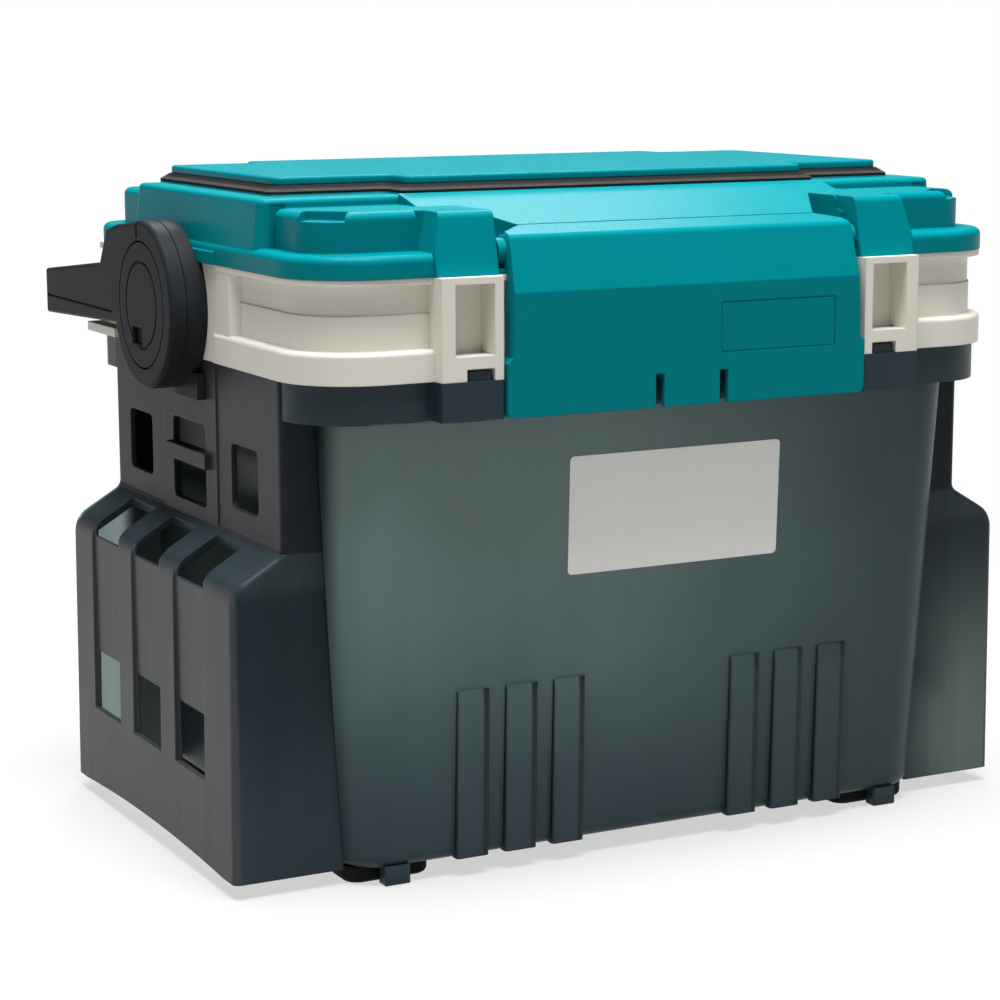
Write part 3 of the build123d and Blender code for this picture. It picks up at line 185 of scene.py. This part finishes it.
# Off-white polypropylene: warm and softly shiny, with a fine smooth skin.
white, _ = plain_plastic(
    "white_moulded_polypropylene",
    "#ebe8de",
    "#e5e2d6",
    roughness=0.42,
    grain_mm=1.1,
    grain_depth_mm=0.05,
    edge_mm=0.9,
    specular=0.40,
)
# Charcoal nylon: nearly black and matt, so the round hub keeps its form by shading alone.
charcoal, _ = plain_plastic(
    "charcoal_moulded_nylon",
    "#26292d",
    "#2b2e31",
    roughness=0.36,
    grain_mm=0.8,
    grain_depth_mm=0.08,
    edge_mm=1.2,
    specular=0.02,
)
# Natural polypropylene: no pigment, so it is milky and lets some light through.
milky, milky_shader = plain_plastic(
    "natural_moulded_polypropylene",
    "#cfd6d7",
    "#d6dcdc",
    roughness=0.38,
    grain_mm=1.0,
    grain_depth_mm=0.04,
    edge_mm=0.5,
    specular=0.45,
)
milky_shader.inputs["Transmission Weight"].default_value = 0.35
print("plastics:", [m.name for m in (teal, white, charcoal, milky)])

# %% [markdown]
# ## Smoke-tinted mouldings
# The tub, the side panels and the wings are a smoke-tinted, slightly see-through polypropylene. Where
# the wall lets light through it looks pale and greenish, and where it is backed or folded it looks
# almost black. On the tub and the wings these pale and dark zones are painted light and shade, built
# from the piece's own coordinates, with a noise that makes the borders swim. Streaks that are drawn
# out along the height are the resin's flow lines.

# %% Smoke surface
cloud_mm = 90
swim_mm = 60
streak_mm = 14
streak_stretch = 0.08


def tint_between(tree, source, span, first, second):
    """Colour that goes smoothly from first to second while source crosses the span."""
    share = add_node(
        tree,
        "MapRange",
        {"From Min": span[0], "From Max": span[1]},
        {"Value": source},
        interpolation_type="SMOOTHSTEP",
    )
    mix = add_node(tree, "Mix", links={"Factor": share.outputs["Result"]}, data_type="RGBA")
    for socket, colour in (("A", first), ("B", second)):
        if isinstance(colour, str):
            mix.inputs[socket].default_value = linear(colour)
        else:
            tree.links.new(colour, mix.inputs[socket])
    return mix.outputs["Result"]


def smoke_plastic(name, tint, roughness, specular, streak_share):
    """Smoke-tinted moulding; tint makes its colour, painted light and shade included, from fixed and
    swimming coordinates.
    """
    material, tree, shader, place = moulded_surface(
        name, roughness, grain_mm=1.0, grain_depth_mm=0.06, edge_mm=1.2, specular=specular
    )
    cloud = add_node(tree, "TexNoise", {"Scale": 1 / (cloud_mm * mm), "Detail": 2.0}, {"Vector": place})
    wander = add_node(
        tree, "VectorMath", {1: (0.5, 0.5, 0.5)}, {0: cloud.outputs["Color"]}, operation="SUBTRACT"
    )
    swim = add_node(
        tree, "VectorMath", {"Scale": swim_mm * mm}, {0: wander.outputs["Vector"]}, operation="SCALE"
    )
    moved = add_node(tree, "VectorMath", links={0: place, 1: swim.outputs["Vector"]}, operation="ADD")
    fixed_axes = add_node(tree, "SeparateXYZ", links={0: place}).outputs
    swimming_axes = add_node(tree, "SeparateXYZ", links={0: moved.outputs["Vector"]}).outputs
    colour = tint(tree, shader, fixed_axes, swimming_axes)
    drawn = add_node(tree, "Mapping", {"Scale": (1.0, 1.0, streak_stretch)}, {"Vector": place})
    flow = add_node(
        tree,
        "TexNoise",
        {"Scale": 1 / (streak_mm * mm), "Detail": 3.0},
        {"Vector": drawn.outputs["Vector"]},
    )
    streak = add_node(
        tree,
        "MapRange",
        {"To Min": 1 - streak_share, "To Max": 1 + streak_share},
        {"Value": flow.outputs["Fac"]},
    )
    streaked = add_node(
        tree, "VectorMath", links={0: colour, "Scale": streak.outputs["Result"]}, operation="SCALE"
    )
    tree.links.new(streaked.outputs["Vector"], shader.inputs["Base Color"])
    return material


# %% [markdown]
# ## Tint and painted light of the tub
# The front has one tint for each corner, mixed along the box and up the wall. These tints are painted
# light: pale at the upper left and darker to the right and below, for the light that shines through the
# wall and the shaded floor it mirrors. The ribs stand in two groups of three. The flanks of a rib are
# painted dark as shade, and a coordinate that runs from 0 to 1 across each rib's place in its group
# finds them. It only counts on faces that stand proud of the leaning wall.

# %% Tub
rib_group_x = 82.9 * mm
rib_pitch = 28.3 * mm
wall_slope = 11.0 / 255.5
wall_foot_y = -139.6 * mm
# Spans of the painted light on the front, along the box and up the wall.
front_length = (-80 * mm, 210 * mm)
front_height = (5 * mm, 200 * mm)
tub_corner = (181 * mm, 190 * mm)
rim_start = (243.5 * mm, 245.5 * mm)
# Where the rib flanks are painted dark as shade.
right_flank, left_flank = (0.67, 0.73), (0.20, 0.17)
rib_face = (wall_foot_y - 0.4 * mm, wall_foot_y - 0.8 * mm)
painted_flank_shade = "#17262a"


def tub_tint_and_painted_light(tree, shader, fixed, swimming):
    """Painted light: pale at the upper left, darker to the right and below; darkest on the ends, with
    painted shade on the rib flanks.
    """
    # Painted light: corner tints, pale at the upper left and darker to the right and below.
    low_row = tint_between(tree, swimming["X"], front_length, "#2c4048", "#283d41")
    high_row = tint_between(tree, swimming["X"], front_length, "#6f8482", "#2c4248")
    wall = tint_between(tree, swimming["Z"], front_height, low_row, high_row)
    outwards = add_node(tree, "Math", links={0: fixed["X"]}, operation="ABSOLUTE")
    wall = tint_between(tree, outwards.outputs[0], tub_corner, wall, "#1a272b")
    side = add_node(tree, "Math", links={0: fixed["X"]}, operation="SIGN")
    in_group = add_node(
        tree, "Math", {1: -rib_group_x}, {0: side.outputs[0], 2: fixed["X"]}, operation="MULTIPLY_ADD"
    )
    turns = add_node(
        tree, "Math", {1: 1 / rib_pitch, 2: 0.5}, {0: in_group.outputs[0]}, operation="MULTIPLY_ADD"
    )
    across = add_node(tree, "Math", links={0: turns.outputs[0]}, operation="FRACT").outputs[0]
    # Painted shade: the flanks of each rib are darkened.
    rib = tint_between(tree, across, right_flank, wall, painted_flank_shade)
    rib = tint_between(tree, across, left_flank, rib, painted_flank_shade)
    upright = add_node(
        tree, "Math", {1: wall_slope}, {0: fixed["Z"], 2: fixed["Y"]}, operation="MULTIPLY_ADD"
    )
    wall = tint_between(tree, upright.outputs[0], rib_face, wall, rib)
    return tint_between(tree, fixed["Z"], rim_start, wall, "#21343b")


smoke_tub = smoke_plastic(
    "smoke_moulded_polypropylene_tub", tub_tint_and_painted_light, roughness=0.40, specular=0.25, streak_share=0.09
)
print("made", smoke_tub.name)

# %% [markdown]
# ## Tint of the wings and the side panels, with the wings' painted light
# The outer skin of a wing is paler than its ends: partly its own greyer tone and partly a painted
# reflection of the bright floor beside it. The right end has a pale cloud low down, which is painted
# light shining through from behind, and the top of the shoulder is painted paler where light falls from
# above. The rear wall has nothing behind it near the skin, so it lets the light through, and the windows
# show it; its colour is also painted pale for that light.

# %% Wings and side panels
# The outer skin, whose paler colour is partly a painted reflection of the bright floor.
wing_skin = (232.5 * mm, 235 * mm)
wing_inside = (233 * mm, 232 * mm)
wing_foot = (130 * mm, 20 * mm)
# The top of the shoulder, which is painted paler as if lit from above.
wing_shoulder = (152 * mm, 164 * mm)
# Where a pale cloud of painted backlight lies on the right end.
backlight_height = (170 * mm, 20 * mm)
backlight_length = (165 * mm, 212 * mm)
# The rear wall, which lets light through and is also painted pale for it.
rear_wall = (112 * mm, 113.5 * mm)
clear_of_tub = (197 * mm, 209 * mm)
clear_share = 0.85
panel_front = (20 * mm, -130 * mm)
panel_edge = (-121.5 * mm, -124.5 * mm)


def wing_tint_and_painted_light(tree, shader, fixed, swimming):
    """Dark ends, lighter towards the foot, with painted light: a pale cloud on the right end, a paler
    shoulder top and a pale rear wall, which is also clear; the paler outer skin is partly painted
    reflection.
    """
    end = tint_between(tree, swimming["Z"], wing_foot, "#1a2830", "#2f3e46")
    # Painted light: a pale cloud low on the right end, for light shining through from behind.
    cloud = tint_between(tree, swimming["X"], backlight_length, end, "#66746f")
    end = tint_between(tree, swimming["Z"], backlight_height, end, cloud)
    # Painted light: the top of the shoulder is made paler, as if lit from above.
    end = tint_between(tree, fixed["Z"], wing_shoulder, end, "#2f3b41")
    # Painted light: the rear wall's colour is made pale for the light it lets through.
    end = tint_between(tree, fixed["Y"], rear_wall, end, "#93a5a2")
    outwards = add_node(tree, "Math", links={0: fixed["X"]}, operation="ABSOLUTE").outputs[0]
    behind = tint_between(tree, fixed["Y"], rear_wall, "#000000", "#ffffff")
    within = tint_between(tree, outwards, wing_inside, "#000000", behind)
    open_air = tint_between(tree, outwards, clear_of_tub, "#000000", within)
    clear = add_node(tree, "MapRange", {"To Max": clear_share}, {"Value": open_air})
    tree.links.new(clear.outputs["Result"], shader.inputs["Transmission Weight"])
    # Partly painted reflection: the outer skin is paler for the bright floor it mirrors, and partly its
    # own greyer tone.
    return tint_between(tree, outwards, wing_skin, end, "#44464a")


def side_tint(tree, shader, fixed, swimming):
    """Brownish dark wall, a little paler towards the front, with a blue-black front edge."""
    wall = tint_between(tree, swimming["Y"], panel_front, "#2b2a30", "#3a383e")
    return tint_between(tree, fixed["Y"], panel_edge, wall, "#19232a")


smoke_wing = smoke_plastic(
    "smoke_moulded_polypropylene_wing", wing_tint_and_painted_light, roughness=0.38, specular=0.14, streak_share=0.34
)
smoke_side = smoke_plastic(
    "smoke_moulded_polypropylene_side", side_tint, roughness=0.42, specular=0.13, streak_share=0.26
)
print("made", smoke_wing.name, "and", smoke_side.name)

# %% [markdown]
# ## Rubber and steel
# The hatch seal and the feet are moulded rubber: black and dull. The seal's flank has a paler, specked
# stripe between two black lips, which is drawn by height, so the feet far below stay black. The stripe
# is painted light where the sloped flank catches the lamp, and the lips are painted shade under the
# hatch and along the lower edge. The pins, bolts and nuts are zinc-plated steel, which has a bluish grey
# shine with fine drawn lines.

# %% Rubber
rubber_black = "#121110"
speck_mm = 2.2
rubber, tree, shader, place = start_material("black_moulded_rubber")
specks = add_node(
    tree,
    "TexNoise",
    {"Scale": 1 / (speck_mm * mm), "Detail": 4.0, "Roughness": 0.7},
    {"Vector": place},
).outputs["Fac"]
level = add_node(tree, "SeparateXYZ", links={0: place}).outputs["Z"]
seal_low, seal_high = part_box("hatch_gasket")
# Heights of the seal's black lips, which are painted shade.
lower_lip = (seal_low.z + 0.9 * mm, seal_low.z + 1.7 * mm)
upper_lip = (seal_high.z - 1.2 * mm, seal_high.z - 2.0 * mm)
# Specks of the paler stripe; the stripe's paleness is painted light on the sloped flank.
lit_stripe_specks = add_node(
    tree, "Mix", {"A": linear("#231f1e"), "B": linear("#4a4340")}, {"Factor": specks}, data_type="RGBA"
)
# Painted shadow: black above the upper lip, under the hatch's edge.
painted_stripe_and_shadow = tint_between(tree, level, upper_lip, rubber_black, lit_stripe_specks.outputs["Result"])
# Painted shade: black below the lower lip, on the seal's lower edge.
seal_colour_and_painted_light = tint_between(tree, level, lower_lip, rubber_black, painted_stripe_and_shadow)
tree.links.new(seal_colour_and_painted_light, shader.inputs["Base Color"])
bump = add_node(tree, "Bump", {"Strength": 0.3, "Distance": 0.12 * mm}, {"Height": specks})
tree.links.new(bump.outputs["Normal"], shader.inputs["Normal"])
shader.inputs["Roughness"].default_value = 0.75
shader.inputs["IOR"].default_value = 1.52
shader.inputs["Specular IOR Level"].default_value = 0.2
print("made", rubber.name)

# %% Steel
drawn_line_mm = 0.5
line_stretch = 0.05
steel, tree, shader, place = start_material("zinc_plated_drawn_steel")
stretch = add_node(tree, "Mapping", {"Scale": (line_stretch, 1.0, 1.0)}, {"Vector": place})
lines = add_node(
    tree,
    "TexNoise",
    {"Scale": 1 / (drawn_line_mm * mm), "Detail": 2.0},
    {"Vector": stretch.outputs["Vector"]},
)
shine = add_node(tree, "MapRange", {"To Min": 0.25, "To Max": 0.42}, {"Value": lines.outputs["Fac"]})
tree.links.new(shine.outputs["Result"], shader.inputs["Roughness"])
shader.inputs["Base Color"].default_value = linear("#b9bdc2")
shader.inputs["Metallic"].default_value = 1.0
print("made", steel.name)

# %% [markdown]
# ## Finish of each CAD node
# Every solid keeps its shape and place, and takes the material of its slot in the record. The wings and
# the side panels share the tub's slot, but each has its own cloud of smoke tint, and the wings' material
# also holds painted light.

# %% Hand out the materials
finish = {
    "smoke_polypropylene": smoke_tub,
    "white_polypropylene": white,
    "teal_polypropylene": teal,
    "charcoal_nylon": charcoal,
    "clear_polypropylene": milky,
    "black_rubber": rubber,
    "steel": steel,
}
own_smoke = {"wing": smoke_wing, "side_panel": smoke_side}
for subpart in frame["record"]["subparts"]:
    coat = finish[subpart["material_slot"]]
    for start, smoke in own_smoke.items():
        if subpart["node"].startswith(start):
            coat = smoke
    node = frame["nodes"][subpart["node"]]
    node.data.materials.clear()
    node.data.materials.append(coat)

# %% [markdown]
# ## Blank label and bare plate
# A paper label on the tub's front is a thin film with rounded corners. The tub leans outwards towards
# its rim, so the film leans with it. A low plate in a shallow bed on the latch marks where a maker could
# put a sign. Both start as a flat grid of one face, get round corners with a vertex bevel, and are then
# extruded.

# %% Thin plates


def new_piece(name, mesh_builder, material, body):
    """Finished object at the origin that rides on a body."""
    mesh = bpy.data.meshes.new(name)
    mesh_builder.to_mesh(mesh)
    mesh_builder.free()
    mesh.materials.append(material)
    piece = bpy.data.objects.new(name, mesh)
    bpy.context.scene.collection.objects.link(piece)
    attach(piece, body)
    print(name, "faces:", len(mesh.polygons))


def rounded_plate(width, height, thick, corner, edge, place):
    """Plate that faces the front, with round corners and a soft front edge."""
    plate = bmesh.new()
    bmesh.ops.create_grid(plate, x_segments=1, y_segments=1, size=0.5)
    bmesh.ops.scale(plate, vec=(width, height, 1.0), verts=plate.verts)
    corners = plate.verts[:]
    bmesh.ops.bevel(
        plate, geom=corners, offset=corner, segments=6, profile=0.5, affect="VERTICES", material=-1
    )
    front = bmesh.ops.extrude_face_region(plate, geom=plate.faces[:])
    raised = [item for item in front["geom"] if isinstance(item, bmesh.types.BMVert)]
    bmesh.ops.translate(plate, vec=(0, 0, thick), verts=raised)
    rim = [e for e in plate.edges if all(v in raised for v in e.verts) and len(e.link_faces) == 2]
    bmesh.ops.bevel(
        plate, geom=rim, offset=edge, segments=2, profile=0.5, affect="EDGES", material=-1
    )
    bmesh.ops.recalc_face_normals(plate, faces=plate.faces[:])
    upright = Matrix.Rotation(math.radians(90), 4, "X")
    bmesh.ops.transform(plate, matrix=place @ upright, verts=plate.verts)
    return plate


# %% Label
# Coated paper: almost pure white, with faint fibres under a smooth, softly shiny coat.
fibre_mm = 1.5
paper, tree, shader, place = start_material("white_coated_label_paper")
fibre = add_node(tree, "TexNoise", {"Scale": 1 / (fibre_mm * mm), "Detail": 3.0}, {"Vector": place})
shade = add_node(
    tree,
    "Mix",
    {"A": linear("#fcfbf8"), "B": linear("#f5f4f1")},
    {"Factor": fibre.outputs["Fac"]},
    data_type="RGBA",
)
tree.links.new(shade.outputs["Result"], shader.inputs["Base Color"])
shader.inputs["Roughness"].default_value = 0.35
shader.inputs["Specular IOR Level"].default_value = 0.9
label_lean = Matrix.Rotation(math.atan(wall_slope), 4, "X")
label_plate = rounded_plate(
    width=129 * mm,
    height=63 * mm,
    thick=0.25 * mm,
    corner=2.5 * mm,
    edge=0.08 * mm,
    place=Matrix.Translation((0.0080, -0.14765, 0.1867)) @ label_lean,
)
new_piece("blank_label", label_plate, paper, "case")

# %% Latch plate
latch_low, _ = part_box("front_latch")
bed_depth = 0.6 * mm
sign_plate = rounded_plate(
    width=70.2 * mm,
    height=25.6 * mm,
    thick=0.5 * mm,
    corner=0.8 * mm,
    edge=0.2 * mm,
    place=Matrix.Translation((0.0527, latch_low.y + bed_depth, 0.2840)),
)
new_piece("latch_plate", sign_plate, teal, "latch")

# %% [markdown]
# ## Floor and light
# The box stands on a plain pale floor. The light is a wide soft lamp almost overhead, a little in front,
# so the lid is bright and the upright walls are about a third as bright. A second lamp stands high
# behind and lays a pale sheen on the sloping deck in front of the hatch. The floor near the box shows
# its shadow, and further out it fades to plain white for every ray that sees it directly. Scattered
# light meets a greyer floor, so that the white doesn't light the box.

# %% Floor mesh
floor_builder = bmesh.new()
bmesh.ops.create_grid(floor_builder, x_segments=1, y_segments=1, size=12.0)
floor_mesh = bpy.data.meshes.new("studio_floor")
floor_builder.to_mesh(floor_mesh)
floor_builder.free()
floor = bpy.data.objects.new("studio_floor", floor_mesh)
bpy.context.scene.collection.objects.link(floor)
print("floor:", floor.name)

# %% Floor paint
shadow_reach, white_reach = 0.30, 0.80
white_share_near = 0.60
plain_white = (1.0, 1.0, 1.0, 1.0)
floor_paint = bpy.data.materials.new("pale_matt_floor")
floor_paint.use_nodes = True
tree = floor_paint.node_tree
tree.nodes.clear()
place = add_node(tree, "TexCoord").outputs["Object"]
reach = add_node(tree, "VectorMath", links={0: place}, operation="LENGTH")
fade = add_node(
    tree,
    "MapRange",
    {"From Min": shadow_reach, "From Max": white_reach, "To Min": white_share_near, "To Max": 1.0},
    {"Value": reach.outputs["Value"]},
    interpolation_type="SMOOTHSTEP",
)
paint = add_node(tree, "BsdfDiffuse", {"Color": linear("#cfcfcd")})
white_out = add_node(tree, "Emission", {"Color": plain_white, "Strength": 1.0})
seen = add_node(
    tree, "MixShader", links={0: fade.outputs["Result"], 1: paint.outputs[0], 2: white_out.outputs[0]}
)
thrown = add_node(tree, "BsdfDiffuse", {"Color": linear("#a2a2a0")})
ray = add_node(tree, "LightPath").outputs
mirrored = add_node(
    tree, "Math", links={0: ray["Is Camera Ray"], 1: ray["Is Glossy Ray"]}, operation="MAXIMUM"
)
direct = add_node(
    tree, "Math", links={0: mirrored.outputs[0], 1: ray["Is Transmission Ray"]}, operation="MAXIMUM"
)
both = add_node(tree, "MixShader", links={0: direct.outputs[0], 1: thrown.outputs[0], 2: seen.outputs[0]})
add_node(tree, "OutputMaterial", links={"Surface": both.outputs[0]})
floor_mesh.materials.append(floor_paint)
print("floor paint:", floor_paint.name)

# %% [markdown]
# ## World
# The world is white for camera and transmission rays, and dim for scattered light. Glossy rays see the
# white only near the horizon, because a bright sky above would veil the lid's flat top.

# %% World
scattered_strength = 0.20
horizon_height = 0.05
glossy_sky_strength = 0.04
world = bpy.data.worlds.new("studio_world")
bpy.context.scene.world = world
world.use_nodes = True
tree = world.node_tree
tree.nodes.clear()
heading = add_node(tree, "TexCoord").outputs["Generated"]
height = add_node(tree, "SeparateXYZ", links={0: heading})
backdrop = add_node(
    tree,
    "MapRange",
    {"From Min": 0.0, "From Max": horizon_height, "To Min": 1.0, "To Max": glossy_sky_strength},
    {"Value": height.outputs["Z"]},
    interpolation_type="SMOOTHSTEP",
)
ray = add_node(tree, "LightPath").outputs
through = add_node(
    tree, "Math", links={0: ray["Is Camera Ray"], 1: ray["Is Transmission Ray"]}, operation="MAXIMUM"
)
plain = add_node(
    tree, "MapRange", {"To Min": scattered_strength, "To Max": 1.0}, {"Value": through.outputs[0]}
)
strength = add_node(
    tree,
    "MapRange",
    links={
        "Value": ray["Is Glossy Ray"],
        "To Min": plain.outputs["Result"],
        "To Max": backdrop.outputs["Result"],
    },
)
sky = add_node(tree, "Background", {"Color": plain_white}, {"Strength": strength.outputs["Result"]})
add_node(tree, "OutputWorld", links={"Surface": sky.outputs[0]})
print("world:", world.name)

# %% Lamps
lamp_aim = Vector((0.0, 0.0, 0.3))


def lamp(name, place, size, watts):
    """Square soft lamp that points at the box."""
    data = bpy.data.lights.new(name, "AREA")
    data.shape = "SQUARE"
    data.size = size
    data.energy = watts
    holder = bpy.data.objects.new(name, data)
    holder.location = place
    holder.rotation_euler = (lamp_aim - Vector(place)).to_track_quat("-Z", "Y").to_euler()
    bpy.context.scene.collection.objects.link(holder)


lamp("lamp_overhead", place=(-0.15, -0.33, 2.4), size=1.4, watts=118.0)
lamp("lamp_behind", place=(0.9, 1.9, 2.25), size=1.2, watts=36.0)
bpy.context.scene.view_settings.view_transform = "Standard"
